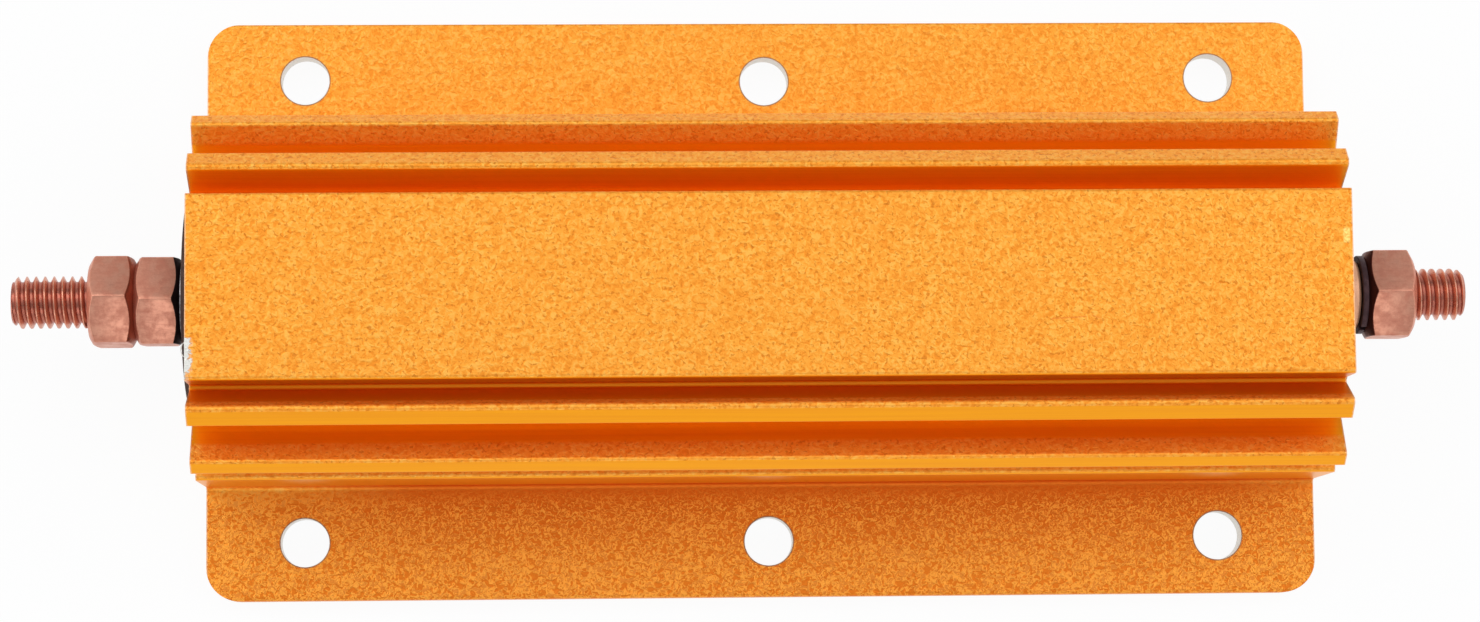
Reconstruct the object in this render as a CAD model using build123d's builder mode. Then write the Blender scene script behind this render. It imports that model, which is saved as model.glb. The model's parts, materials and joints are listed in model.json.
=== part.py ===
from build123d import *

import os
from math import cos, hypot, radians, sin, sqrt, tan

# Aluminium housed power resistor. A wound ceramic element is potted in the bore of a
# finned aluminium extrusion, and a threaded stud carries the current out at each end.
#
# Frame: the origin is the centre of the mounting face, +X runs along the housing
# towards the end with one nut, and +Z points up from the mounting face. Millimetres.

# ---------------------------------------------------------------- driving dimensions

# Housing: mounting flange
housing_length = 126.3
flange_width = 66.0
flange_thickness = 3.0
flange_corner_radius = 3.8
flange_edge_radius = 0.35
flange_hole_radius = 2.75
hole_spacing_x = 104.0
hole_spacing_y = 52.9
middle_hole_shift = (0.6, -0.25)

# Housing: barrel round the bore, measured from the bore's axis
bore_axis_height = 13.8
bore_radius = 10.5
barrel_radius = 14.6

# Housing: top land between the two upper grooves
top_land_rise = 16.2
top_land_width = 20.25
top_land_edge_radius = 0.45
upper_groove_rise = 10.55
upper_groove_floor = 0.6
upper_groove_radius = 0.25

# Housing: fins, with the lean of each one up from the horizontal
upper_fin_lean = 61.0
upper_fin_thickness = 2.3
upper_fin_near_reach = 19.85
upper_fin_far_reach = 18.85
upper_fin_tip_flare = 0.42
upper_fin_tip_radius = 0.5
lower_fin_lean = 34.4
lower_fin_offset = 2.28
lower_fin_thickness = 2.12
lower_fin_near_reach = 20.88
lower_fin_far_reach = 21.0
fin_tip_radius = 0.4
lower_groove_radius = 1.2

# Housing: pedestal under the lower fins
ledge_rise = 2.8
ledge_width = 40.1
ledge_edge_radius = 0.5
ledge_groove_radius = 0.4
pedestal_foot_radius = 0.6

# Clearance of every turned or potted piece in the bore that takes it
fit = 0.05

# Wound element
element_inset = 8.0
core_radius = 6.5
core_edge = 0.4
cap_wall = 0.7
cap_end_thickness = 1.0
cap_skirt = 6.0
wire_diameter = 0.7

# Terminal studs and nuts
stud_radius = 2.9
thread_pitch = 1.0
stud_head_radius = 6.0
stud_head_thickness = 2.0
stud_tip_chamfer = 0.5
left_free_thread = 8.55
right_free_thread = 5.85
nut_across_flats = 9.6
left_nut_thickness = 5.1
right_nut_thickness = 5.4
nut_face_radius = 4.2
nut_chamfer_angle = 30.0
left_inner_nut_turn = 2.0
left_outer_nut_turn = -2.0
right_nut_turn = 1.0

# End plates and washers, from the housing outwards
end_plate_radius = 12.0
end_plate_thickness = 0.8
insulating_washer_radius = 4.9
insulating_washer_thickness = 0.5
flat_washer_radius = 4.8
flat_washer_thickness = 0.35
copper_collar_radius = 4.0
copper_collar_length = 2.5
copper_collar_chamfer = 0.35
lock_washer_radius = 4.4
lock_washer_thickness = 0.75
lock_washer_split = 0.7
lock_washer_split_angle = 155.0

# ---------------------------------------------------------------- worked-out places

half_length = housing_length / 2
cap_outer_radius = core_radius + fit + cap_wall
winding_radius = core_radius + fit + wire_diameter
head_face = half_length - element_inset - cap_end_thickness
core_half_length = head_face - stud_head_thickness
cap_skirt_end = core_half_length - cap_skirt
stud_bore_radius = stud_radius + fit
stud_shank_radius = stud_radius - 3 * sqrt(3) / 16 * thread_pitch
shank_bore_radius = stud_shank_radius + fit
nut_corner_radius = nut_across_flats / sqrt(3)
nut_corner_up = 360 / 6 / 2
nut_chamfer_slope = tan(radians(nut_chamfer_angle))
bore_axis = Axis((0, 0, bore_axis_height), (1, 0, 0))

# Distance of each face of the terminal stacks from the middle of the housing
plate_face = half_length + end_plate_thickness
insulator_face = plate_face + insulating_washer_thickness
flat_washer_face = insulator_face + flat_washer_thickness
inner_nut_face = flat_washer_face + left_nut_thickness
outer_nut_face = inner_nut_face + left_nut_thickness
left_tip = outer_nut_face + left_free_thread
collar_face = plate_face + copper_collar_length
lock_washer_face = collar_face + lock_washer_thickness
right_nut_face = lock_washer_face + right_nut_thickness
right_tip = right_nut_face + right_free_thread

os.makedirs("parts", exist_ok=True)


def save(part, name):
    """Label a finished piece and write it to its own file."""
    part.label = name
    export_step(part, f"parts/{name}.step")


def turning_plane():
    """Half section of a turned piece: X along the bore's axis, Y the radius."""
    return Plane(origin=(0, 0, bore_axis_height), x_dir=(1, 0, 0), z_dir=(0, -1, 0))


# ---------------------------------------------------------------- housing


def fin_point(lean, along, across):
    """A point of the section, measured from the bore's axis along and across a fin."""
    c, s = cos(radians(lean)), sin(radians(lean))
    return (along * c + across * s, bore_axis_height + along * s - across * c)


def barrel_reach(across):
    """How far along a fin its side, that far off the axis, meets the barrel."""
    return sqrt(barrel_radius**2 - across**2)


def housing_half_section():
    """Corners of the right half of the section from top to bottom, with their radii."""
    land = top_land_width / 2
    root_y = land + upper_groove_floor
    lean = radians(upper_fin_lean)
    near = root_y * sin(lean) - upper_groove_rise * cos(lean)
    far = near + upper_fin_thickness
    low_near = lower_fin_offset
    low_far = low_near + lower_fin_thickness
    ledge_z = bore_axis_height + ledge_rise
    groove_z = bore_axis_height + upper_groove_rise
    near_tip = near - upper_fin_tip_flare
    upper_root = fin_point(upper_fin_lean, barrel_reach(far), far)
    lower_root = fin_point(lower_fin_lean, barrel_reach(low_near), low_near)
    floor = hypot(upper_root[0] - lower_root[0], upper_root[1] - lower_root[1])
    groove_radius = min(lower_groove_radius, floor / 2)
    return [
        ((0, bore_axis_height + top_land_rise), 0),
        ((land, bore_axis_height + top_land_rise), top_land_edge_radius),
        ((land, groove_z), upper_groove_radius),
        ((root_y, groove_z), upper_groove_radius),
        (
            fin_point(upper_fin_lean, upper_fin_near_reach, near_tip),
            upper_fin_tip_radius,
        ),
        (fin_point(upper_fin_lean, upper_fin_far_reach, far), fin_tip_radius),
        (upper_root, groove_radius),
        (lower_root, groove_radius),
        (fin_point(lower_fin_lean, lower_fin_near_reach, low_near), fin_tip_radius),
        (fin_point(lower_fin_lean, lower_fin_far_reach, low_far), fin_tip_radius),
        (fin_point(lower_fin_lean, barrel_reach(low_far), low_far), ledge_groove_radius),
        ((barrel_reach(ledge_rise), ledge_z), ledge_groove_radius),
        ((ledge_width / 2, ledge_z), ledge_edge_radius),
        ((ledge_width / 2, flange_thickness), pedestal_foot_radius),
        ((flange_width / 2, flange_thickness), flange_edge_radius),
        ((flange_width / 2, 0), 0),
        ((0, 0), 0),
    ]


section = housing_half_section()
with BuildPart() as housing:
    with BuildSketch(Plane.YZ.offset(-half_length)):
        with BuildLine():
            outline = FilletPolyline(
                *[point for point, _ in section],
                radius=[radius for _, radius in section[1:-1]],
            )
            Line(outline @ 1, outline @ 0)
        make_face()
        mirror(about=Plane.YZ)
        with Locations((0, bore_axis_height)):
            Circle(bore_radius, mode=Mode.SUBTRACT)
    extrude(amount=housing_length)
    with BuildSketch():
        RectangleRounded(housing_length, flange_width, flange_corner_radius)
    extrude(amount=bore_axis_height + top_land_rise, mode=Mode.INTERSECT)
    with Locations((0, 0, flange_thickness)):
        with GridLocations(hole_spacing_x, hole_spacing_y, 2, 2):
            Hole(flange_hole_radius, depth=flange_thickness)
    with Locations((*middle_hole_shift, flange_thickness)):
        with GridLocations(0, hole_spacing_y, 1, 2):
            Hole(flange_hole_radius, depth=flange_thickness)
save(housing.part, "housing")

# ---------------------------------------------------------------- wound element

# Steatite rod that carries the winding
with BuildPart() as ceramic_core:
    with BuildSketch(Plane.YZ.offset(-core_half_length)):
        with Locations((0, bore_axis_height)):
            Circle(core_radius)
    extrude(amount=2 * core_half_length)
    chamfer(ceramic_core.edges().filter_by(GeomType.CIRCLE), core_edge)
save(ceramic_core.part, "ceramic_core")

# Resistance wire, closely wound in one layer from cap to cap
with BuildPart() as resistance_winding:
    with BuildSketch(Plane.YZ.offset(fit - cap_skirt_end)):
        with Locations((0, bore_axis_height)):
            Circle(winding_radius)
            Circle(core_radius + fit, mode=Mode.SUBTRACT)
    extrude(amount=2 * (cap_skirt_end - fit))
save(resistance_winding.part, "resistance_winding")

# Potting cement: fills the bore round the element, and lets the studs out
cement_radius = bore_radius - fit
element_bore = max(cap_outer_radius, winding_radius) + fit
with BuildPart() as cement_fill:
    with BuildSketch(turning_plane()):
        with BuildLine():
            Polyline(
                (-half_length, shank_bore_radius),
                (-half_length, cement_radius),
                (half_length, cement_radius),
                (half_length, shank_bore_radius),
                (half_length - element_inset, shank_bore_radius),
                (half_length - element_inset, element_bore),
                (element_inset - half_length, element_bore),
                (element_inset - half_length, shank_bore_radius),
                close=True,
            )
        make_face()
    revolve(axis=bore_axis)
save(cement_fill.part, "cement_fill")

# ---------------------------------------------------------------- end pieces


def turned(points):
    """A solid turned about the bore's axis from its half section."""
    with BuildPart() as piece:
        with BuildSketch(turning_plane()):
            with BuildLine():
                Polyline(*points, close=True)
            make_face()
        revolve(axis=bore_axis)
    return piece


def ring(side, start, end, inner, outer):
    """A plain washer between two distances from the middle of the housing."""
    return turned(
        [
            (side * start, inner),
            (side * start, outer),
            (side * end, outer),
            (side * end, inner),
        ]
    )


def end_cap(side):
    """Pressed metal cap: its skirt grips the core, its end holds the stud's head."""
    face = half_length - element_inset
    inner = core_radius + fit
    return turned(
        [
            (side * face, stud_bore_radius),
            (side * face, cap_outer_radius),
            (side * cap_skirt_end, cap_outer_radius),
            (side * cap_skirt_end, inner),
            (side * head_face, inner),
            (side * head_face, stud_bore_radius),
        ]
    )


def terminal_stud(side, outer_nut, tip):
    """Stud with a flat head inside the cap and a chamfered tip outside.

    The thread is plain: at its outer diameter where it is free beyond the last nut,
    and at its pitch diameter, like the rolled shank, from there inwards.
    """
    return turned(
        [
            (side * core_half_length, 0),
            (side * core_half_length, stud_head_radius),
            (side * head_face, stud_head_radius),
            (side * head_face, stud_shank_radius),
            (side * outer_nut, stud_shank_radius),
            (side * outer_nut, stud_radius),
            (side * (tip - stud_tip_chamfer), stud_radius),
            (side * tip, stud_radius - stud_tip_chamfer),
            (side * tip, 0),
        ]
    )


for side, end, outer_nut, tip in (
    (-1, "left", outer_nut_face, left_tip),
    (1, "right", right_nut_face, right_tip),
):
    save(end_cap(side).part, f"{end}_end_cap")
    save(terminal_stud(side, outer_nut, tip).part, f"{end}_terminal_stud")
    end_plate = ring(side, half_length, plate_face, stud_bore_radius, end_plate_radius)
    save(end_plate.part, f"{end}_end_plate")

left_insulating_washer = ring(
    -1, plate_face, insulator_face, stud_bore_radius, insulating_washer_radius
)
save(left_insulating_washer.part, "left_insulating_washer")

left_flat_washer = ring(
    -1, insulator_face, flat_washer_face, stud_bore_radius, flat_washer_radius
)
save(left_flat_washer.part, "left_flat_washer")

# Copper collar, its outer rim bevelled
copper_collar = turned(
    [
        (plate_face, stud_bore_radius),
        (plate_face, copper_collar_radius),
        (collar_face - copper_collar_chamfer, copper_collar_radius),
        (collar_face, copper_collar_radius - copper_collar_chamfer),
        (collar_face, stud_bore_radius),
    ]
)
save(copper_collar.part, "right_copper_collar")

# Split lock washer, pressed flat under the nut
with BuildPart() as lock_washer:
    with BuildSketch(Plane.YZ.offset(collar_face)):
        with Locations((0, bore_axis_height)):
            Circle(lock_washer_radius)
            Circle(stud_bore_radius, mode=Mode.SUBTRACT)
            Rectangle(
                2 * lock_washer_radius,
                lock_washer_split,
                rotation=lock_washer_split_angle,
                align=(Align.MIN, Align.CENTER),
                mode=Mode.SUBTRACT,
            )
    extrude(amount=lock_washer_thickness)
save(lock_washer.part, "right_lock_washer")


def hex_nut(start, thickness, turn):
    """Nut from X = start in +X: a corner up, turned a little, chamfered on both faces."""
    end = start + thickness
    chamfer_depth = (nut_corner_radius - nut_face_radius) * nut_chamfer_slope
    with BuildPart() as nut:
        with BuildSketch(Plane.YZ.offset(start)):
            with Locations((0, bore_axis_height)):
                RegularPolygon(nut_corner_radius, 6, rotation=nut_corner_up + turn)
                Circle(shank_bore_radius, mode=Mode.SUBTRACT)
        extrude(amount=thickness)
        with BuildSketch(turning_plane()):
            with BuildLine():
                Polyline(
                    (start, 0),
                    (start, nut_face_radius),
                    (start + chamfer_depth, nut_corner_radius),
                    (end - chamfer_depth, nut_corner_radius),
                    (end, nut_face_radius),
                    (end, 0),
                    close=True,
                )
            make_face()
        revolve(axis=bore_axis, mode=Mode.INTERSECT)
    return nut


left_inner_nut = hex_nut(-inner_nut_face, left_nut_thickness, left_inner_nut_turn)
save(left_inner_nut.part, "left_inner_nut")
left_outer_nut = hex_nut(-outer_nut_face, left_nut_thickness, left_outer_nut_turn)
save(left_outer_nut.part, "left_outer_nut")
right_nut = hex_nut(lock_washer_face, right_nut_thickness, right_nut_turn)
save(right_nut.part, "right_nut")
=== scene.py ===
"""Aluminium housed resistor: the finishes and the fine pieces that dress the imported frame.

Lengths are in metres. X runs along the housing, Z points up from the mounting face.
"""

import json
import math

import bmesh
import bpy
from bpy.props import FloatProperty, FloatVectorProperty, IntProperty, PointerProperty
from mathutils import Matrix, Vector

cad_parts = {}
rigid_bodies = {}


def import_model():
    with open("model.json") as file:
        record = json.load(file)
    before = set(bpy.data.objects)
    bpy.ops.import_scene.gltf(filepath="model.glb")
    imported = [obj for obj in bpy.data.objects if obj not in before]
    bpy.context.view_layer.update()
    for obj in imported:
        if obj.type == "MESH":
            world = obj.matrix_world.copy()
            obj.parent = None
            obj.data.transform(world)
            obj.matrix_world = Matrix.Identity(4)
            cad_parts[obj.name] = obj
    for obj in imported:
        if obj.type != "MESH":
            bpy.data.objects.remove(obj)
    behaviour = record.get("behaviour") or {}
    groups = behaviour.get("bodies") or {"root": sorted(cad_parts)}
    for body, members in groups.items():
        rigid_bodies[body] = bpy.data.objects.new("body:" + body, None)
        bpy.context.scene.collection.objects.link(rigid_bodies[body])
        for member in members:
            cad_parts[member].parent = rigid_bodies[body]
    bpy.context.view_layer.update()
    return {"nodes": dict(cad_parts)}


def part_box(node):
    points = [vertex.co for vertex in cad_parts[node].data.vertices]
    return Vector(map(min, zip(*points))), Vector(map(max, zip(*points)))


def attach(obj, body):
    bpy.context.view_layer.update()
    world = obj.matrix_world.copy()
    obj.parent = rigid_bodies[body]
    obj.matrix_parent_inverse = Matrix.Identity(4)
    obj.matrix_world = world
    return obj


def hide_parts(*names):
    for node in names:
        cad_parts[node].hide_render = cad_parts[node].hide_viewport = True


bl_info = {
    "name": "Aluminium Housed Resistor",
    "version": (1, 0, 0),
    "blender": (4, 5, 0),
    "location": "3D View > Sidebar > Resistor",
    "description": "Dresses the frame of an aluminium housed resistor",
    "category": "Add Mesh",
}

for leftover in list(bpy.data.objects):
    bpy.data.objects.remove(leftover)
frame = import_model()

MM = 0.001
BODY = "root"


def axis_height():
    """The height of the studs' axis above the mounting face."""
    low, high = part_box("left_terminal_stud")
    return (low.z + high.z) / 2


AXIS_HEIGHT = axis_height()
HOUSING_LOW, HOUSING_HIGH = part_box("housing")

# Flange holes
CORNER_HOLES = 52 * MM  # X of the corner holes' axes
HOLE_ROWS = 26.45 * MM  # Y of the holes' axes
MIDDLE_SHIFT = (0.6 * MM, -0.25 * MM)  # how far the middle holes stand off the centre
HOLE_WALL_REFLECTION = (2.79 * MM, 2.76 * MM)  # the hole walls take the near-white colour over these radii: painted reflection of the white floor
HOLE_RIM = (2.95 * MM, 2.84 * MM)  # the dark rim fades in over these radii

# Marks on the top land
NICK = (62.45 * MM, 4.9 * MM)  # X and Y of its centre
SCRATCHES = (  # X and Y of one end, then of the other
    (29.8 * MM, -4.05 * MM, 34.2 * MM, -3.75 * MM),
    (34.2 * MM, -3.55 * MM, 35.7 * MM, -4.1 * MM),
)
SCRATCH_WIDTH = 0.09 * MM

# Studs, nuts and washers
THREAD_STEPS = 16  # rows in one pitch: 2 on the crest, 4 in the root, 5 on each flank
MERGE = 0.002 * MM  # points closer than this become one
WIRE_MERGE = 0.001 * MM
HEAD_THICKNESS = 2.0 * MM
HEAD_EDGE = 0.15 * MM
SHANK_RADIUS = 2.57 * MM
SHANK_FILLET = 0.2 * MM
SHANK_LAP = 0.6 * MM  # how far the shank runs into the threaded part
TIP_INSET = 0.25 * MM
COUNTERSINK_ANGLE = math.radians(60)
CHAMFER_ANGLE = math.radians(30)
WASHER_BORE = 2.97 * MM
LOCK_BORE = 2.98 * MM
LOCK_WIRE = 0.86  # the lock washer's wire is this share of its depth along X
LOCK_EDGE = 0.09 * MM
LOCK_GAP = math.radians(9)
LOCK_GAP_PLACE = math.radians(155)  # where the middle of its gap is, from +Y upwards
LOCK_STEPS = 90
LATHE_FACETS = 72

# Plain finishes: colour setting, second colour, grain, metallic, roughness, relief and how
# much of the second colour shows
PLAIN_FINISHES = {
    "Torn aluminium": ("bare", (150, 140, 142), 0.3 * MM, 0.7, 0.4, 0.02 * MM, 0.5),
    "Black rubber": ("rubber", (70, 66, 66), 0.6 * MM, 0.0, 0.62, 0.04 * MM, 0.5),
    "Plain washer": ("zinc", (70, 58, 58), 0.5 * MM, 0.9, 0.42, 0.03 * MM, 0.9),
    # the split washer is painted dark: painted shade of its place between the collar and the nut
    "Split washer": ("washer_steel_shade", (44, 30, 34), 0.7 * MM, 0.8, 0.5, 0.03 * MM, 0.5),
    "Pressed board": ("board", (30, 24, 26), 0.8 * MM, 0.0, 0.55, 0.04 * MM, 0.5),
    "Potting cement": ("cement", (150, 140, 124), 0.9 * MM, 0.0, 0.85, 0.08 * MM, 0.5),
    "Steatite": ("ceramic", (206, 198, 180), 1.2 * MM, 0.0, 0.5, 0.02 * MM, 0.5),
    "Resistance alloy": ("alloy", (100, 92, 86), 0.5 * MM, 0.95, 0.35, 0.01 * MM, 0.5),
    "Plated cap": ("cap", (140, 138, 134), 1.0 * MM, 0.95, 0.32, 0.01 * MM, 0.5),
}

# Room: the camera and mirrors see white, and everything else gets this light
ROOM_LIGHT = 0.43
ROOM_TINT = (0.86, 0.94, 1.0, 1.0)
HORIZON = (0.3, 0.06)  # mirrors see white from the second height of the sky down
FLOOR_REACH = 4.0
FLOOR_DROP = 0.05 * MM
FLOOR_SHADE = 0.82
FLOOR_GLOW = 0.94  # share of plain white in what the camera and mirrors see of it

# Lamps: name, bearing, height above the horizon, distance, size, radiance
LAMPS = (
    ("Top", 30.0, 84.0, 0.9, 0.5, 0.65),
    ("Key", -45.0, 50.0, 0.9, 0.6, 1.95),
    ("Back", 45.0, 50.0, 0.9, 0.6, 0.9),
    ("Front", 180.0, 35.0, 0.9, 0.5, 1.45),
    ("Left", -90.0, 26.0, 0.8, 0.8, 0.9),
    ("Right", 90.0, 36.0, 0.8, 0.8, 1.2),
)

# Camera
CAMERA_LENS = 97.226
CAMERA_PLACE = (-0.02216, -0.04532, 0.45796)
CAMERA_TURN = (5.647, -2.473, -0.345)  # degrees about X, Y and Z


# ---------------------------------------------------------------- settings


def linear(red, green, blue):
    """A display colour, 0 to 255, as the linear colour that shaders take."""
    out = []
    for part in (red, green, blue):
        part /= 255
        out.append(part / 12.92 if part <= 0.04045 else ((part + 0.055) / 1.055) ** 2.4)
    return (*out, 1.0)


def place(name, description, default, **limits):
    """A setting that is a place along an axis."""
    return FloatProperty(
        name=name,
        description=description,
        default=default,
        subtype="DISTANCE",
        unit="LENGTH",
        precision=5,
        **limits,
    )


def length(name, description, default):
    """A setting that is a length."""
    return place(name, description, default, min=0.0)


def colour(name, description, red, green, blue):
    """A setting that is a display colour, given as 0 to 255."""
    return FloatVectorProperty(
        name=name,
        description=description,
        default=linear(red, green, blue),
        size=4,
        min=0.0,
        max=1.0,
        subtype="COLOR",
    )


class ResistorSizes(bpy.types.PropertyGroup):
    """Sizes of the pieces that are made over the frame."""

    thread_pitch: length("Thread Pitch", "Distance from one crest to the next", 1.0 * MM)
    thread_crest: length("Thread Crest Radius", "Radius over the stud's crests", 2.9 * MM)
    thread_root: length("Thread Root Radius", "Radius at the thread's bottom", 2.29 * MM)
    thread_play: length("Thread Play", "Radial gap between a stud's thread and a nut's", 0.04 * MM)
    left_crest: place("Left Crest Place", "X of a crest at the left stud's back", -79.02 * MM)
    right_crest: place("Right Crest Place", "X of a crest at the right stud's back", 76.06 * MM)
    nut_flats: length("Nut Across Flats", "Distance between opposite flats", 9.6 * MM)
    nut_face: length("Nut Face Radius", "Radius of a nut's bearing face", 4.2 * MM)
    nut_corner: length("Nut Edge Rounding", "Rounding of a nut's worn edges", 0.12 * MM)
    countersink: length("Countersink Radius", "Radius where a nut's thread enters", 3.15 * MM)
    wire: length("Wire Diameter", "Diameter of the resistance wire", 0.7 * MM)
    wire_pitch: length("Winding Pitch", "Distance from one turn to the next", 1.4 * MM)
    columns: IntProperty(
        name="Facets Around",
        description="Facets round a thread or a nut, a multiple of six",
        default=72,
        min=12,
        max=180,
    )


class ResistorColours(bpy.types.PropertyGroup):
    """Colours of the finishes, and of the painted shade and highlights on them."""

    gold: colour("Gold", "Blasted gold anodising", 254, 166, 55)
    gold_bright: colour("Bright Gold", "Lighter grains of the blasting", 255, 190, 86)
    gold_fleck: colour("Gold Fleck", "Darker mottling of the blasting", 240, 138, 28)
    gold_speck: colour("Gold Speck", "Pits in the blasted anodising", 214, 116, 16)
    # painted shade in the grain's hollows and painted highlight on its ridges, on the front flange
    # only, where light rakes it
    gold_hollow_shade: colour("Gold Hollow Shade", "Painted shade in the hollows of the front flange's grain", 220, 106, 8)
    gold_ridge_highlight: colour("Gold Ridge Highlight", "Painted highlight on the ridges of the front flange's grain", 255, 166, 60)
    # painted shadow of the body on the front flange
    gold_body_shadow: colour("Gold Body Shadow", "Painted shadow of the body on the front flange", 226, 108, 10)
    gold_drawn: colour("Drawn Gold", "Anodising on the unblasted, drawn surfaces", 255, 167, 10)
    # painted shade in the front groove beside the top land
    gold_groove_shade: colour("Shaded Gold", "Painted shade on the drawn faces of the upper front groove", 240, 142, 8)
    # painted highlight on the sawn ends' top edges, partly bare deburred metal; also the real
    # bruise round the chip
    gold_edge_highlight_and_bruise: colour("Cut Edge", "Pale sawn edges and bruised metal", 250, 196, 150)
    bare: colour("Bare Aluminium", "Where the anodising is chipped", 230, 226, 218)
    rim: colour("Hole Rim", "Thin line round the flange holes", 150, 112, 84)
    nick: colour("Nick", "Small bright nick near the right end", 255, 224, 128)
    scratch: colour("Scratch", "Faint scratch on the top land", 238, 132, 50)
    copper: colour("Copper Plating", "Plating on the nuts and studs", 222, 156, 130)
    copper_dull: colour("Dull Copper", "Tarnished plating", 196, 124, 102)
    copper_dirt: colour("Copper Dirt", "Dirt and oxide in threads and corners", 160, 74, 62)
    copper_pale: colour("Pale Copper", "Bright copper of the collar", 255, 190, 148)
    # painted shade: the inner nut's faces towards the housing are painted near black
    inner_nut_shade: colour("Inner Nut Shade", "Painted shade on the inner nut's bearing side", 36, 30, 36)
    # painted shade on the outer nut's faces towards the housing
    outer_nut_shade: colour("Outer Nut Shade", "Painted shade on the outer nut's inner side", 156, 84, 64)
    # painted shade on the right nut's faces towards the housing
    right_nut_shade: colour("Right Nut Shade", "Painted shade on the right nut's inner side", 104, 50, 42)
    rubber: colour("Rubber", "Insulating washer", 34, 32, 34)
    board: colour("Pressed Board", "End plates", 66, 44, 38)
    zinc: colour("Zinc", "Plain washer", 176, 168, 168)
    # painted shade: the split washer's shiny steel painted dark
    washer_steel_shade: colour("Washer Steel Shade", "Split washer", 84, 60, 62)
    cement: colour("Cement", "Potting cement", 196, 190, 178)
    ceramic: colour("Ceramic", "Core of the element", 232, 226, 212)
    alloy: colour("Resistance Alloy", "Wire of the winding", 150, 146, 140)
    cap: colour("Cap Plating", "End caps of the element", 190, 190, 188)


def sizes():
    return bpy.context.scene.resistor_sizes


def colours():
    return bpy.context.scene.resistor_colours


# ---------------------------------------------------------------- node trees


class Nodes:
    """Writes a node tree. A call adds its nodes, fills their sockets and gives the output."""

    def __init__(self, tree):
        self.tree = tree

    def put(self, socket, value):
        if isinstance(value, bpy.types.NodeSocket):
            self.tree.links.new(value, socket)
        else:
            socket.default_value = value

    def add(self, kind, values=None, out=0, **settings):
        node = self.tree.nodes.new(kind)
        for name, value in settings.items():
            setattr(node, name, value)
        for key, value in (values or {}).items():
            self.put(node.inputs[key], value)
        return node.outputs[out]

    def math(self, operation, *values):
        return self.add("ShaderNodeMath", dict(enumerate(values)), operation=operation)

    def plus(self, total, *others):
        for other in others:
            total = self.math("ADD", total, other)
        return total

    def minus(self, first, second):
        return self.math("SUBTRACT", first, second)

    def times(self, product, *others):
        for other in others:
            product = self.math("MULTIPLY", product, other)
        return product

    def most(self, first, second):
        return self.math("MAXIMUM", first, second)

    def off(self, value, centre):
        """How far value is from centre, either way."""
        return self.math("ABSOLUTE", self.minus(value, centre))

    def hypot(self, first, second):
        squares = self.plus(self.times(first, first), self.times(second, second))
        return self.math("SQRT", squares)

    def span(self, value, low, high, to_low=0.0, to_high=1.0, smooth=True):
        """value from low to high becomes to_low to to_high, and is held beyond them."""
        values = {
            "Value": value,
            "From Min": low,
            "From Max": high,
            "To Min": to_low,
            "To Max": to_high,
        }
        kind = "SMOOTHSTEP" if smooth else "LINEAR"
        return self.add("ShaderNodeMapRange", values, interpolation_type=kind)

    def mix(self, factor, first, second):
        """first where factor is 0, second where it is 1."""
        node = self.tree.nodes.new("ShaderNodeMix")
        node.data_type = "RGBA"
        sockets = {socket.identifier: socket for socket in node.inputs}
        self.put(sockets["Factor_Float"], factor)
        self.put(sockets["A_Color"], first)
        self.put(sockets["B_Color"], second)
        return next(out for out in node.outputs if out.identifier == "Result_Color")

    def noise(self, where, grain, detail=2.0, rough=0.5, twist=0.0, stretch=None):
        """Noise whose lumps are about grain across, in metres."""
        if stretch:
            where = self.add("ShaderNodeMapping", {"Vector": where, "Scale": stretch})
        values = {
            "Vector": where,
            "Scale": 1.0 / grain,
            "Detail": detail,
            "Roughness": rough,
            "Distortion": twist,
        }
        return self.add("ShaderNodeTexNoise", values)


class Finish(Nodes):
    """A material: its object coordinates, the patterns on them and one shader."""

    def __init__(self, name):
        self.material = bpy.data.materials.new(name)
        self.material.use_nodes = True
        super().__init__(self.material.node_tree)
        self.tree.nodes.clear()
        self.where = self.add("ShaderNodeTexCoord", out="Object")
        split = self.tree.nodes.new("ShaderNodeSeparateXYZ")
        self.put(split.inputs[0], self.where)
        self.x, self.y, self.z = split.outputs

    def from_axis(self):
        """Distance from the studs' axis."""
        return self.hypot(self.y, self.minus(self.z, AXIS_HEIGHT))

    def below_top(self, low, high):
        """0 lower than low under the top land, 1 from high under it upwards."""
        return self.span(self.z, HOUSING_HIGH.z - low, HOUSING_HIGH.z - high)

    def facing(self, direction):
        """How far the surface faces a direction: 1 straight at it."""
        normal = self.add("ShaderNodeNewGeometry", out="Normal")
        values = {0: normal, 1: direction}
        return self.add("ShaderNodeVectorMath", values, out="Value", operation="DOT_PRODUCT")

    def bump(self, height, depth, strength):
        values = {"Height": height, "Distance": depth, "Strength": strength}
        return self.add("ShaderNodeBump", values)

    def close(self, **sockets):
        """Ends the material with a shader. Underscores stand for a socket's spaces."""
        shader = self.tree.nodes.new("ShaderNodeBsdfPrincipled")
        for name, value in sockets.items():
            self.put(shader.inputs[name.replace("_", " ")], value)
        end = self.tree.nodes.new("ShaderNodeOutputMaterial")
        self.put(end.inputs["Surface"], shader.outputs[0])
        return self.material


# ---------------------------------------------------------------- finishes


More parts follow.
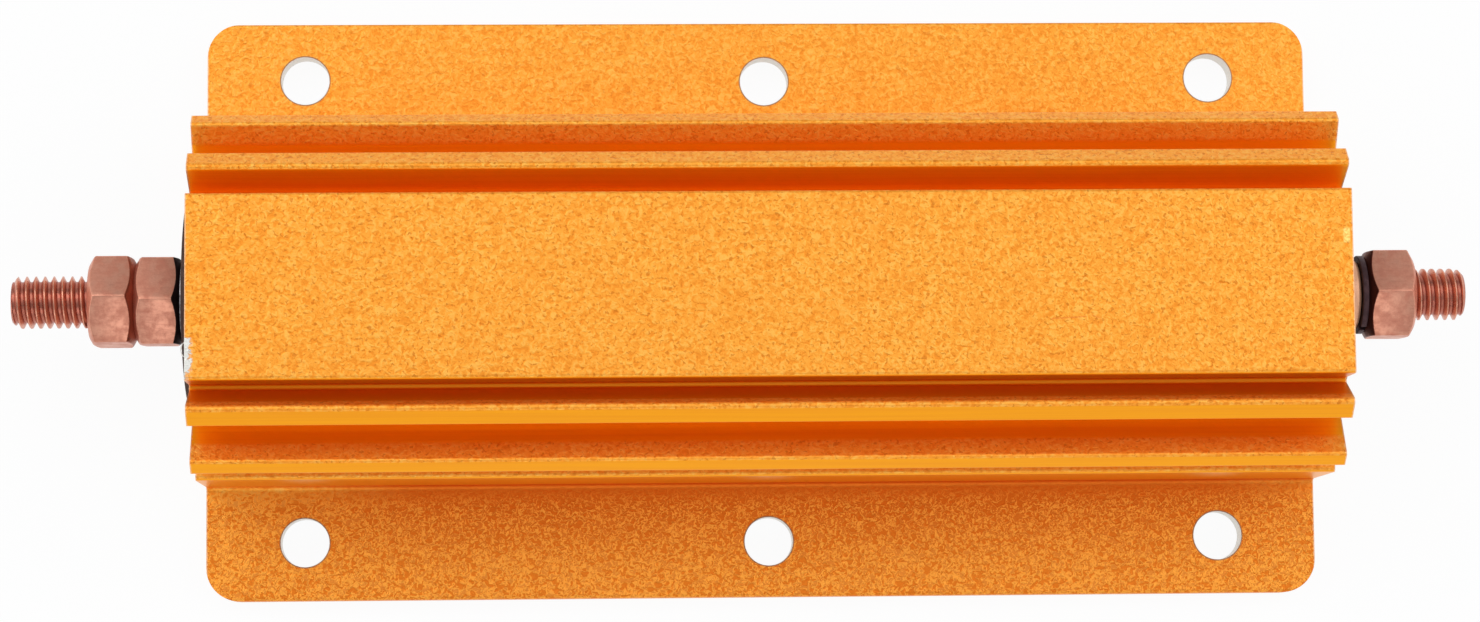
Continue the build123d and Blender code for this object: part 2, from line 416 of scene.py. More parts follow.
def gold_anodised():
    """Gold anodising: blasted where the grit reached, drawn and smooth in the grooves."""
    c = colours()
    f = Finish("Gold anodised aluminium")
    # leathery grain of the blasting: soft worms, fine lumps and small dark pits
    worms = f.noise(f.where, 0.52 * MM, detail=2.0, rough=0.45, twist=0.9)
    fine = f.noise(f.where, 0.24 * MM, detail=1.5, rough=0.5)
    pitting = f.noise(f.where, 0.4 * MM, detail=1.0, rough=0.4, twist=0.5)
    broad = f.noise(f.where, 5 * MM, detail=3.0)
    lines = f.noise(f.where, 0.3 * MM, detail=2.0, stretch=(0.01, 1.0, 1.0))

    reached = f.times(blast_reach(f), facing_blast(f))
    blasted = f.most(reached, f.span(f.z, 4.5 * MM, 3.5 * MM))
    on_flange = f.span(f.z, 8 * MM, 3.5 * MM)
    coarse = f.times(on_flange, f.span(f.y, -20 * MM, -23 * MM))
    ridges = f.span(f.off(worms, 0.52), 0.1, 0.01)
    high_up = f.span(f.z, 12 * MM, 25 * MM, 0.5, 1.0)
    pits = f.times(f.span(f.plus(pitting, f.times(broad, 0.12)), 0.46, 0.36), high_up)

    skin = f.mix(f.span(worms, 0.5, 0.66, 0.0, 0.7), c.gold, c.gold_bright)
    skin = f.mix(f.span(worms, 0.5, 0.34, 0.0, 0.75), skin, c.gold_fleck)
    skin = f.mix(f.span(broad, 0.35, 0.7, 0.0, 0.15), skin, c.gold_fleck)
    skin = f.mix(f.times(pits, 0.7), skin, c.gold_speck)
    # painted shadow of the body on the front flange, darkest against it
    skin = f.mix(f.times(body_shadow_on_flange(f), on_flange), skin, c.gold_body_shadow)
    # painted shade in the hollows and painted highlight on the ridges of the front flange's grain
    hollows = f.times(coarse, f.span(ridges, 0.5, 0.0, 0.0, 0.62))
    skin = f.mix(hollows, skin, c.gold_hollow_shade)
    skin = f.mix(f.times(coarse, f.span(ridges, 0.4, 1.0, 0.0, 0.9)), skin, c.gold_ridge_highlight)

    # painted shade on the drawn faces of the front groove beside the top land
    drawn = f.mix(front_groove_shade(f), c.gold_drawn, c.gold_groove_shade)
    drawn = f.mix(f.span(lines, 0.35, 0.7, 0.0, 0.3), drawn, c.gold_fleck)

    at_top = f.below_top(1.6 * MM, 0.9 * MM)
    bare, bruised = chip(f, at_top)
    hole = hole_distance(f)
    # painted reflection of the white floor on the hole walls, in the bare colour
    bare = f.most(bare, f.span(hole, *HOLE_WALL_REFLECTION))
    tone = f.mix(blasted, drawn, skin)
    tone = f.mix(f.times(f.span(hole, *HOLE_RIM), 0.8), tone, c.rim)
    # painted highlight on the top edges of the sawn ends, partly bare deburred metal
    tone = f.mix(cut_edge_highlight(f, worms), tone, c.gold_edge_highlight_and_bruise)
    tone = f.mix(nick_mark(f, at_top, fine), tone, c.nick)
    scratches = f.most(*(stroke(f, ends, broad) for ends in SCRATCHES))
    tone = f.mix(f.times(scratches, 0.75), tone, c.scratch)
    tone = f.mix(f.times(bruised, 0.7), tone, c.gold_edge_highlight_and_bruise)
    tone = f.mix(bare, tone, c.bare)

    grain = f.plus(worms, f.plus(f.times(fine, 0.35), f.times(ridges, coarse, 0.5)))
    grain = f.times(f.minus(grain, f.times(pits, 0.15)), blasted)
    drag = f.times(lines, 0.15, f.minus(1.0, blasted))
    relief = f.plus(grain, drag, f.times(bare, -1.2))
    return f.close(
        Base_Color=tone,
        Metallic=0.75,
        Roughness=f.span(blasted, 0.0, 1.0, 0.34, 0.44),
        Normal=f.bump(relief, 0.09 * MM, 0.8),
    )


def blast_reach(f):
    """1 on the surfaces near the outside of the section, 0 in its grooves."""
    top = f.below_top(0.75 * MM, 0.25 * MM)
    fins = f.span(f.from_axis(), 18.2 * MM, 18.8 * MM)
    return f.most(top, fins)


def facing_blast(f):
    """1 on the surfaces that faced the grit, which came from above and a little from +Y."""
    return f.span(f.facing((0.0, 0.35, 0.94)), 0.42, 0.55)


def body_shadow_on_flange(f):
    """Painted shadow of the body: 1 on the front flange against the body, fading to its edge and
    to both ends.
    """
    across = f.span(f.y, -20.5 * MM, -31 * MM, 1.0, 0.1)
    in_front = f.span(f.y, -17 * MM, -19 * MM)
    left_end = f.span(f.x, -61 * MM, -36 * MM)
    right_end = f.span(f.x, 62 * MM, 50 * MM, 0.6, 1.0)
    return f.times(across, in_front, f.times(left_end, right_end))


def front_groove_shade(f):
    """1 in the front groove beside the top land, where it gets painted shade."""
    beyond_land = f.span(f.y, -8.5 * MM, -10 * MM)
    above_floor = f.span(f.z, 22.5 * MM, 23.5 * MM)
    inside_fins = f.span(f.from_axis(), 18.9 * MM, 18.3 * MM)
    return f.times(beyond_land, above_floor, inside_fins)


def chip(f, at_top):
    """Bare metal, and the bruise round it, where the left end was knocked."""
    flakes = f.noise(f.where, 0.7 * MM, detail=4.0, rough=0.7)
    left = HOUSING_LOW.x
    near_end = f.span(f.x, left + 0.1 * MM, left + 1.1 * MM, 0.36, 0.0, smooth=False)
    along_edge = f.times(
        f.span(f.y, -10.6 * MM, -8.6 * MM, 0.2, 1.0),
        f.span(f.y, -5.2 * MM, -5.9 * MM),
        f.span(f.y, -11.4 * MM, -10.2 * MM),
    )
    knocked = f.times(near_end, along_edge, at_top)
    broken = f.plus(flakes, knocked)
    bare = f.times(f.span(broken, 0.66, 0.7), f.span(knocked, 0.01, 0.08))
    bruised = f.times(f.span(broken, 0.52, 0.64), f.span(knocked, 0.02, 0.1))
    return bare, bruised


def hole_distance(f):
    """Distance from the axis of the nearest flange hole."""
    nearest = None
    for spread, (shift_x, shift_y) in ((CORNER_HOLES, (0.0, 0.0)), (0.0, MIDDLE_SHIFT)):
        along = f.minus(f.off(f.x, shift_x), spread)
        across = f.minus(f.off(f.y, shift_y), HOLE_ROWS)
        away = f.hypot(along, across)
        nearest = f.math("MINIMUM", nearest, away) if nearest else away
    return nearest


def nick_mark(f, at_top, fine):
    """1 on the small bright nick near the right end."""
    along = f.span(f.off(f.x, NICK[0]), 0.45 * MM, 0.25 * MM)
    across = f.span(f.off(f.y, NICK[1]), 0.95 * MM, 0.6 * MM)
    return f.times(along, across, at_top, f.span(fine, 0.4, 0.6, 0.4, 1.0))


def stroke(f, ends, wobble):
    """1 on a thin scratch between two points of the top land, moved sideways by wobble."""
    x0, y0, x1, y1 = ends
    slope = (y1 - y0) / (x1 - x0)
    line = f.plus(f.times(f.minus(f.x, x0), slope), y0)
    stray = f.times(f.minus(wobble, 0.5), 0.5 * MM)
    beside = f.off(f.minus(f.y, line), stray)
    begun = f.span(f.x, x0, x0 + 0.5 * MM)
    not_over = f.span(f.x, x1, x1 - 0.5 * MM)
    narrow = f.span(beside, SCRATCH_WIDTH, SCRATCH_WIDTH * 0.4)
    on_land = f.below_top(0.3 * MM, 0.1 * MM)
    return f.times(narrow, f.times(begun, not_over), on_land)


def cut_edge_highlight(f, wobble):
    """1 on the thin pale line along the sawn ends of the housing: painted highlight on their top
    edges, partly bare deburred metal.
    """
    stray = f.times(f.minus(wobble, 0.5), 0.25 * MM)
    reach = f.plus(f.math("ABSOLUTE", f.x), stray)
    end = HOUSING_HIGH.x
    at_end = f.span(reach, end - 0.16 * MM, end - 0.08 * MM, 0.0, 0.8)
    return f.times(at_end, f.span(f.facing((0.0, 0.0, 1.0)), 0.2, 0.4))


def copper_plating(name, worn, dirt_reach, clean=None, back=None, metallic=0.9, shine=0.0):
    """Copper plating: mottled, streaked along X and dull in its hollows.

    worn is how much dull copper shows, and dirt_reach where dirt lies, from the axis.
    clean is the plating's colour where it isn't the usual one. back is a direction
    along X and the painted shade of the faces that look that way. shine lowers the roughness.
    """
    c = colours()
    f = Finish(name)
    mottle = f.noise(f.where, 1.3 * MM, detail=4.0, rough=0.65)
    fine = f.noise(f.where, 0.28 * MM, detail=3.0, rough=0.6)
    streaks = f.noise(f.where, 0.35 * MM, detail=3.0, stretch=(0.25, 1.0, 1.0))
    tone = f.mix(f.span(mottle, 0.36, 0.66, 0.0, worn), clean or c.copper, c.copper_dull)
    tone = f.mix(f.span(streaks, 0.5, 0.7, 0.0, worn * 0.6), tone, c.copper_dull)
    tone = f.mix(f.span(fine, 0.56, 0.72, 0.0, 0.35), tone, c.copper_dull)
    if dirt_reach:
        uneven = f.plus(f.from_axis(), f.times(mottle, 0.12 * MM))
        dirt = f.span(uneven, *dirt_reach, 1.0, 0.0)
        tone = f.mix(f.times(dirt, 0.75), tone, c.copper_dirt)
    if back:
        side, painted_shade = back
        turned = f.plus(f.facing((side, 0.0, 0.0)), f.times(f.minus(fine, 0.5), 0.3))
        # painted shade on the faces that look towards the housing
        tone = f.mix(f.times(f.span(turned, 0.16, 0.3), 0.94), tone, painted_shade)
    soft = f.span(mottle, 0.3, 0.7, 0.3 - shine, 0.46 - shine)
    return f.close(
        Base_Color=tone,
        Metallic=metallic,
        Roughness=f.plus(soft, f.times(fine, 0.08)),
        Normal=f.bump(f.plus(mottle, f.times(fine, 0.5)), 0.05 * MM, 0.5),
    )


def coppered_nut(name, side, painted_shade):
    """Copper on a nut, with painted shade on the faces that look along side, towards the housing.
    """
    return copper_plating(name, 0.7, (2.9 * MM, 3.3 * MM), back=(side, painted_shade))


def coppered_stud():
    s = sizes()
    dirt_reach = (s.thread_root - 0.05 * MM, s.thread_crest - 0.15 * MM)
    return copper_plating("Coppered stud", 0.35, dirt_reach, shine=0.1)


def copper_collar_finish():
    pale = colours().copper_pale
    return copper_plating("Copper collar", 0.12, None, clean=pale, metallic=0.3)


def plain_finish(name):
    """A finish of two mottled colours with a fine relief, as PLAIN_FINISHES gives it."""
    setting, second, grain, metallic, rough, relief, fleck = PLAIN_FINISHES[name]
    base, other = getattr(colours(), setting), linear(*second)
    f = Finish(name)
    lumps = f.noise(f.where, grain, detail=4.0, rough=0.65)
    fine = f.noise(f.where, grain / 5, detail=2.0)
    tone = f.mix(f.span(lumps, 0.35, 0.68, 0.0, fleck), base, other)
    tone = f.mix(f.span(fine, 0.55, 0.75, 0.0, fleck * 0.6), tone, other)
    soft = f.span(lumps, 0.3, 0.7, rough - 0.06, rough + 0.06)
    return f.close(
        Base_Color=tone,
        Metallic=metallic,
        Roughness=f.plus(soft, f.times(fine, 0.05)),
        Normal=f.bump(f.plus(lumps, f.times(fine, 0.4)), relief, 0.6),
    )


def white_floor():
    """A pale floor that shows white and keeps a soft shadow."""
    f = Finish("White floor")
    rays = f.tree.nodes.new("ShaderNodeLightPath").outputs
    mirrored = f.most(rays["Is Glossy Ray"], rays["Is Transmission Ray"])
    seen = f.most(rays["Is Camera Ray"], mirrored)
    matte = f.tree.nodes.new("ShaderNodeBsdfDiffuse")
    matte.inputs["Color"].default_value = (FLOOR_SHADE, FLOOR_SHADE, FLOOR_SHADE, 1.0)
    glow = f.tree.nodes.new("ShaderNodeEmission")
    glow.inputs["Strength"].default_value = 1.0
    blend = f.tree.nodes.new("ShaderNodeMixShader")
    f.put(blend.inputs[0], f.times(seen, FLOOR_GLOW))
    f.put(blend.inputs[1], matte.outputs[0])
    f.put(blend.inputs[2], glow.outputs[0])
    end = f.tree.nodes.new("ShaderNodeOutputMaterial")
    f.put(end.inputs["Surface"], blend.outputs[0])
    return f.material


# ---------------------------------------------------------------- geometry nodes


def new_tree(name, floats, integers):
    """A geometry tree with these inputs, a material and one output; gives back both ends."""
    tree = bpy.data.node_groups.new(name, "GeometryNodeTree")
    sockets = tree.interface
    for title in floats:
        sockets.new_socket(title, in_out="INPUT", socket_type="NodeSocketFloat")
    for title, default in integers:
        made = sockets.new_socket(title, in_out="INPUT", socket_type="NodeSocketInt")
        made.default_value = default
    sockets.new_socket("Material", in_out="INPUT", socket_type="NodeSocketMaterial")
    sockets.new_socket("Geometry", in_out="OUTPUT", socket_type="NodeSocketGeometry")
    return Nodes(tree), tree.nodes.new("NodeGroupInput").outputs


def end_tree(n, geometry, material):
    """Ends a geometry tree: real mesh, its material, the output."""
    whole = n.add("GeometryNodeRealizeInstances", {"Geometry": geometry})
    done = n.add("GeometryNodeSetMaterial", {"Geometry": whole, "Material": material})
    out = n.tree.nodes.new("NodeGroupOutput")
    n.put(out.inputs[0], done)
    return n.tree


def thread_tree():
    """A helical thread about X, raised on a stud (Side 1) or cut in a nut (Side -1)."""
    floats = (
        "Start",
        "End",
        "First Crest",
        "Crest Radius",
        "Root Radius",
        "Pitch",
        "Turn",
        "Edge Radius",
        "Edge Slope",
        "Side",
        "Axis Height",
    )
    n, given = new_tree("Helical thread", floats, [("Facets Around", 72)])
    pitch, start, end = given["Pitch"], given["Start"], given["End"]
    crest, side = given["First Crest"], given["Side"]
    # whole pitches from the named crest to two before the start
    to_start = n.math("FLOOR", n.math("DIVIDE", n.minus(start, crest), pitch))
    before = n.minus(to_start, 2.0)
    whole = n.math("CEIL", n.plus(n.math("DIVIDE", n.minus(end, start), pitch), 4.0))
    grid = n.add(
        "GeometryNodeMeshGrid",
        {
            "Size X": 1.0,
            "Size Y": 1.0,
            "Vertices X": n.plus(n.times(whole, float(THREAD_STEPS)), 1.0),
            "Vertices Y": n.plus(given["Facets Around"], 1.0),
        },
    )
    at = n.tree.nodes.new("ShaderNodeSeparateXYZ")
    n.put(at.inputs[0], n.add("GeometryNodeInputPosition"))
    turned = n.math("DIVIDE", given["Turn"], math.tau)
    turns = n.plus(n.plus(at.outputs[1], 0.5), turned)
    rows = n.times(n.plus(at.outputs[0], 0.5), whole)
    pitches = n.plus(rows, before, turns)
    along = n.plus(crest, n.times(pitches, pitch))
    x = n.math("MINIMUM", n.most(along, start), end)
    form = n.span(
        n.math("PINGPONG", rows, 0.5),
        1 / THREAD_STEPS,
        6 / THREAD_STEPS,
        given["Crest Radius"],
        given["Root Radius"],
        smooth=False,
    )
    from_end = n.math("MINIMUM", n.minus(x, start), n.minus(end, x))
    bevel = n.plus(given["Edge Radius"], n.times(given["Edge Slope"], from_end))
    radius = n.times(side, n.math("MINIMUM", n.times(side, form), n.times(side, bevel)))
    angle = n.times(turns, math.tau)
    across = n.times(radius, n.math("COSINE", angle))
    up = n.plus(given["Axis Height"], n.times(radius, n.math("SINE", angle)))
    spot = n.add("ShaderNodeCombineXYZ", {0: x, 1: across, 2: up})
    wound = n.add("GeometryNodeSetPosition", {"Geometry": grid, "Position": spot})
    values = {"Geometry": wound, "Distance": MERGE}
    closed = n.add("GeometryNodeMergeByDistance", values)
    return end_tree(n, closed, given["Material"])


def winding_tree():
    """A round wire wound in a helix along the X axis."""
    floats = ("Start", "Length", "Coil Radius", "Wire Radius", "Pitch", "Axis Height")
    integers = [("Steps per Turn", 28), ("Wire Facets", 8)]
    n, given = new_tree("Wound wire", floats, integers)
    spiral = n.add(
        "GeometryNodeCurveSpiral",
        {
            "Resolution": given["Steps per Turn"],
            "Rotations": n.math("DIVIDE", given["Length"], given["Pitch"]),
            "Start Radius": given["Coil Radius"],
            "End Radius": given["Coil Radius"],
            "Height": given["Length"],
        },
    )
    values = {"Resolution": given["Wire Facets"], "Radius": given["Wire Radius"]}
    section = n.add("GeometryNodeCurvePrimitiveCircle", values)
    values = {"Curve": spiral, "Profile Curve": section, "Fill Caps": True}
    wire = n.add("GeometryNodeCurveToMesh", values)
    spot = n.add("ShaderNodeCombineXYZ", {0: given["Start"], 2: given["Axis Height"]})
    values = {"Geometry": wire, "Translation": spot, "Rotation": (0.0, math.radians(90), 0.0)}
    laid = n.add("GeometryNodeTransform", values)
    smooth = n.add("GeometryNodeSetShadeSmooth", {"Geometry": laid})
    return end_tree(n, smooth, given["Material"])


def grown(tree, **inputs):
    """The mesh a node tree makes. Underscores stand for the spaces in an input's name."""
    carrier = bpy.data.objects.new("carrier", bpy.data.meshes.new("carrier"))
    bpy.context.scene.collection.objects.link(carrier)
    modifier = carrier.modifiers.new("Nodes", "NODES")
    modifier.node_group = tree
    known = {
        item.name: item.identifier
        for item in tree.interface.items_tree
        if item.item_type == "SOCKET" and item.in_out == "INPUT"
    }
    for name, value in inputs.items():
        modifier[known[name.replace("_", " ")]] = value
    bpy.context.view_layer.update()
    seen = carrier.evaluated_get(bpy.context.evaluated_depsgraph_get())
    mesh = bpy.data.meshes.new_from_object(seen)
    bpy.data.objects.remove(carrier)
    return mesh


# ---------------------------------------------------------------- mesh helpers


def finished(name, bm, material, replaces=(), sharp=35.0):
    """Turns a bmesh into a piece that rides on the body and stands for CAD nodes."""
    bmesh.ops.recalc_face_normals(bm, faces=bm.faces)
    mesh = bpy.data.meshes.new(name)
    bm.to_mesh(mesh)
    bm.free()
    mesh.materials.clear()
    mesh.materials.append(material)
    for face in mesh.polygons:
        face.material_index = 0
        face.use_smooth = True
    mesh.set_sharp_from_angle(angle=math.radians(sharp))
    piece = bpy.data.objects.new(name, mesh)
    bpy.context.scene.collection.objects.link(piece)
    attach(piece, BODY)
    if replaces:
        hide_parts(*replaces)
    return piece


def around(x, radius, angle):
    """A point at this angle about the studs' axis: 0 is +Y and a quarter turn is up."""
    return Vector((x, radius * math.cos(angle), AXIS_HEIGHT + radius * math.sin(angle)))


def bridge(bm, rings):
    """Joins each ring of points to the next by faces. A ring may be one point repeated."""
    for a, b in zip(rings, rings[1:]):
        for k in range(len(a)):
            after = (k + 1) % len(a)
            corners = list(dict.fromkeys((a[k], a[after], b[after], b[k])))
            if len(corners) > 2:
                bm.faces.new(corners)


def tube(bm, rings):
    """A closed solid through a row of rings."""
    bridge(bm, rings)
    bm.faces.new(rings[0])
    bm.faces.new(rings[-1])


def lathe(bm, profile, closed=False):
    """Turns (x, radius) points about the studs' axis. closed joins the last to the first."""
    rings = []
    for x, radius in profile:
        if radius == 0.0:
            rings.append([bm.verts.new(around(x, 0.0, 0.0))] * LATHE_FACETS)
        else:
            angles = (math.tau * k / LATHE_FACETS for k in range(LATHE_FACETS))
            rings.append([bm.verts.new(around(x, radius, angle)) for angle in angles])
    bridge(bm, rings + rings[:1] if closed else rings)


def rounded(points, radius, steps):
    """Rounds the corners of a closed (x, radius) outline."""
    out = []
    for k, point in enumerate(points):
        here = Vector(point)
        before = Vector(points[k - 1]) - here
        after = Vector(points[(k + 1) % len(points)]) - here
        ideal = radius / math.tan(before.angle(after) / 2)
        cut = min(ideal, before.length * 0.49, after.length * 0.49)
        a, b = here + before.normalized() * cut, here + after.normalized() * cut
        for step in range(steps + 1):
            t = step / steps
            out.append(tuple((1 - t) ** 2 * a + 2 * t * (1 - t) * here + t * t * b))
    return out


# ---------------------------------------------------------------- pieces


def dress(node, material):
    """Gives a CAD node its finish."""
    obj = frame["nodes"][node]
    obj.data.materials.clear()
    obj.data.materials.append(material)


def thread(material, **inputs):
    """A bmesh with one thread, whose pitch and facets are those of the settings."""
    s = sizes()
    bm = bmesh.new()
    bm.from_mesh(
        grown(
            bpy.data.node_groups.get("Helical thread") or thread_tree(),
            Pitch=s.thread_pitch,
            Axis_Height=AXIS_HEIGHT,
            Facets_Around=s.columns,
            Material=material,
            **inputs,
        )
    )
    return bm


def stud(name, node, start, first_crest, material):
    """A terminal stud: head and shank as the frame has them, and a real thread from start."""
    s = sizes()
    low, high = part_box(node)
    outward = 1 if abs(high.x) > abs(low.x) else -1
    head, tip = (low.x, high.x) if outward > 0 else (high.x, low.x)
    bm = thread(
        material,
        Start=min(start, tip),
        End=max(start, tip),
        First_Crest=first_crest,
        Crest_Radius=s.thread_crest,
        Root_Radius=s.thread_root,
        Turn=0.0,
        Edge_Radius=s.thread_root - 0.01 * MM,
        Edge_Slope=1.0,
        Side=1.0,
    )
    ends = [edge for edge in bm.edges if edge.is_boundary]
    for face in bmesh.ops.holes_fill(bm, edges=ends, sides=0)["faces"]:
        bmesh.ops.inset_individual(bm, faces=[face], thickness=TIP_INSET, depth=0.0)
    reach = high.z - AXIS_HEIGHT
    outline = [
        (0.0, 0.0),
        (0.0, reach - HEAD_EDGE),
        (HEAD_EDGE, reach),
        (HEAD_THICKNESS - HEAD_EDGE, reach),
        (HEAD_THICKNESS, reach - HEAD_EDGE),
        (HEAD_THICKNESS, SHANK_RADIUS + SHANK_FILLET),
        (HEAD_THICKNESS + SHANK_FILLET, SHANK_RADIUS),
    ]
    profile = [(head + outward * along, radius) for along, radius in outline]
    lap = start + outward * SHANK_LAP
    lathe(bm, profile + [(lap, SHANK_RADIUS), (lap, 0.0)])
    return finished(name, bm, material, [node], sharp=50.0)


def hex_reach(angle, flats):
    """Distance from the axis to a hexagon's side at this angle from a corner."""
    past = (angle % math.radians(60)) - math.radians(30)
    return flats / 2 / math.cos(past)


def nut(name, node, turn, first_crest, material):
    """A hexagon nut with chamfered faces, worn edges and a real thread inside."""
    s = sizes()
    low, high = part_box(node)
    facets = s.columns
    first = math.radians(90 + turn)
    bm = thread(
        material,
        Start=low.x,
        End=high.x,
        First_Crest=first_crest,
        Crest_Radius=s.thread_crest + s.thread_play,
        Root_Radius=s.thread_root + s.thread_play,
        Turn=first,
        Edge_Radius=s.countersink,
        Edge_Slope=-math.tan(COUNTERSINK_ANGLE),
        Side=-1.0,
    )
    angles = [math.tau * k / facets for k in range(facets)]

    def circle(x, radius):
        return [bm.verts.new(around(x, radius, first + angle)) for angle in angles]

    def chamfer(face, inward):
        ring = []
        for angle in angles:
            out = hex_reach(angle, s.nut_flats)
            drop = (out - s.nut_face) * math.tan(CHAMFER_ANGLE)
            ring.append(bm.verts.new(around(face + inward * drop, out, first + angle)))
        return ring

    rows = [
        circle(low.x, s.countersink),
        circle(low.x, s.nut_face),
        chamfer(low.x, 1),
        chamfer(high.x, -1),
        circle(high.x, s.nut_face),
        circle(high.x, s.countersink),
    ]
    bridge(bm, rows)
    near, far = rows[2], rows[3]
    worn = []
    for ring in (near, far):
        worn += [bm.edges.get((ring[k], ring[(k + 1) % facets])) for k in range(facets)]
    worn += [bm.edges.get((near[k], far[k])) for k in range(0, facets, facets // 6)]
    bmesh.ops.bevel(
        bm,
        geom=worn,
        offset=s.nut_corner,
        segments=3,
        profile=0.5,
        affect="EDGES",
        clamp_overlap=True,
    )
    bmesh.ops.remove_doubles(bm, verts=bm.verts, dist=MERGE)
    return finished(name, bm, material, [node], sharp=24.0)


def washer(name, node, material, rounding, bevel=0.0, steps=4):
    """A turned washer that stands for one CAD node. bevel cuts back its outer corners."""
    low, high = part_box(node)
    reach = (high.z - low.z) / 2
    outline = [(low.x, WASHER_BORE), (high.x, WASHER_BORE)]
    if bevel:
        outline += [(high.x, reach - bevel), (high.x - bevel, reach)]
        outline += [(low.x + bevel, reach), (low.x, reach - bevel)]
    else:
        outline += [(high.x, reach), (low.x, reach)]
    bm = bmesh.new()
    lathe(bm, rounded(outline, rounding, steps), closed=True)
    return finished(name, bm, material, [node])


def split_washer(name, node, material):
    """A lock washer: one turn of rectangular wire with its two ends apart."""
    low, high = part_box(node)
    outer = (high.z - low.z) / 2
    thick = (high.x - low.x) * LOCK_WIRE
    rise = (high.x - low.x) - thick
    bm = bmesh.new()
    rings = []
    for k in range(LOCK_STEPS + 1):
        part = k / LOCK_STEPS
        angle = LOCK_GAP_PLACE + LOCK_GAP / 2 + part * (math.tau - LOCK_GAP)
        x = low.x + rise * part
        section = [(x, LOCK_BORE), (x + thick, LOCK_BORE), (x + thick, outer), (x, outer)]
        outline = rounded(section, LOCK_EDGE, 2)
        rings.append([bm.verts.new(around(px, r, angle)) for px, r in outline])
    tube(bm, rings)
    return finished(name, bm, material, [node])


def burr(name, material):
    """A small torn lip where the left end of the top land was knocked."""
    wide, out, thick = 0.75 * MM, 0.38 * MM, 0.06 * MM
    low, high = HOUSING_LOW, HOUSING_HIGH
    centre = Vector((low.x + 0.03 * MM, -6.8 * MM, high.z - 0.16 * MM))
    steps, facets = 14, 6
    bm = bmesh.new()
    rings = []
    for k in range(steps + 1):
        turn = math.pi * (k / steps - 0.5)
        middle = centre + Vector((-out * math.cos(turn), wide * math.sin(turn), 0.0))
        outward = Vector((-math.cos(turn) / out, math.sin(turn) / wide, 0.0)).normalized()
        curl = 1.0 + 0.35 * math.sin(5.0 * turn)
        ring = []
        for j in range(facets):
            a = math.tau * j / facets
            spoke = outward * math.cos(a) + Vector((0, 0, math.sin(a)))
            ring.append(bm.verts.new(middle + thick * curl * spoke))
        rings.append(ring)
    tube(bm, rings)
    return finished(name, bm, material)


# ---------------------------------------------------------------- operators


class RESISTOR_OT_housing(bpy.types.Operator):
    """Finishes the extruded housing and the two end plates"""

    bl_idname = "resistor.housing"
    bl_label = "Housing Finish"

    def execute(self, context):
        dress("housing", gold_anodised())
        burr("torn_edge", plain_finish("Torn aluminium"))
        board = plain_finish("Pressed board")
        for side in ("left", "right"):
            dress(f"{side}_end_plate", board)
        return {"FINISHED"}


class RESISTOR_OT_element(bpy.types.Operator):
    """Makes the wound element inside the housing and the cement round it"""

    bl_idname = "resistor.element"
    bl_label = "Wound Element"

    def execute(self, context):
        s = sizes()
        dress("ceramic_core", plain_finish("Steatite"))
        dress("cement_fill", plain_finish("Potting cement"))
        caps = plain_finish("Plated cap")
        for side in ("left", "right"):
            dress(f"{side}_end_cap", caps)
        low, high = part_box("resistance_winding")
        alloy = plain_finish("Resistance alloy")
        mesh = grown(
            winding_tree(),
            Start=low.x + s.wire / 2,
            Length=high.x - low.x - s.wire,
            Coil_Radius=(high.z - low.z) / 2 - s.wire / 2,
            Wire_Radius=s.wire / 2,
            Pitch=s.wire_pitch,
            Axis_Height=AXIS_HEIGHT,
            Material=alloy,
        )
        bm = bmesh.new()
        bm.from_mesh(mesh)
        bmesh.ops.remove_doubles(bm, verts=bm.verts, dist=WIRE_MERGE)
        stands_for = ["resistance_winding"]
        finished("wound_wire", bm, alloy, stands_for, sharp=60.0)
        return {"FINISHED"}


class RESISTOR_OT_studs(bpy.types.Operator):
    """Makes the two threaded terminal studs"""

    bl_idname = "resistor.studs"
    bl_label = "Terminal Studs"

    def execute(self, context):
        s = sizes()
        material = coppered_stud()
        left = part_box("left_insulating_washer")[1].x
        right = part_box("right_copper_collar")[0].x
        stud("left_threaded_stud", "left_terminal_stud", left, s.left_crest, material)
        stud("right_threaded_stud", "right_terminal_stud", right, s.right_crest, material)
        return {"FINISHED"}


class RESISTOR_OT_nuts(bpy.types.Operator):
    """Makes the three hexagon nuts"""

    bl_idname = "resistor.nuts"
    bl_label = "Nuts"

    def execute(self, context):
        s, c = sizes(), colours()
        # painted shade on the inner nut's faces towards the housing
        inner = coppered_nut("Sealed nut", 1.0, c.inner_nut_shade)
        nut("left_inner_hex_nut", "left_inner_nut", 2.0, s.left_crest, inner)
        # painted shade on the outer nut's faces towards the housing
        outer = coppered_nut("Outer nut", 1.0, c.outer_nut_shade)
        nut("left_outer_hex_nut", "left_outer_nut", -2.0, s.left_crest, outer)
        # painted shade on the right nut's faces towards the housing
        right = coppered_nut("Right nut", -1.0, c.right_nut_shade)
        nut("right_hex_nut", "right_nut", 1.0, s.right_crest, right)
        return {"FINISHED"}


class RESISTOR_OT_washers(bpy.types.Operator):
    """Makes the washers, the collar and the lock washer under the nuts"""

    bl_idname = "resistor.washers"
    bl_label = "Washers"

    def execute(self, context):
        washer(
            "left_plain_washer",
            "left_flat_washer",
            plain_finish("Plain washer"),
            rounding=0.09 * MM,
        )
        washer(
            "left_rubber_washer",
            "left_insulating_washer",
            plain_finish("Black rubber"),
            rounding=0.16 * MM,
        )
        washer(
            "right_turned_collar",
            "right_copper_collar",
            copper_collar_finish(),
            rounding=0.3 * MM,
            bevel=0.35 * MM,
            steps=6,
        )
        split_washer("right_split_washer", "right_lock_washer", plain_finish("Split washer"))
        return {"FINISHED"}


def lay_floor():
    """The floor under the part."""
    r, z = FLOOR_REACH, -FLOOR_DROP
    corners = [(-r, -r, z), (r, -r, z), (r, r, z), (-r, r, z)]
    mesh = bpy.data.meshes.new("floor")
    mesh.from_pydata(corners, [], [(0, 1, 2, 3)])
    mesh.materials.append(white_floor())
    floor = bpy.data.objects.new("floor", mesh)
    bpy.context.scene.collection.objects.link(floor)


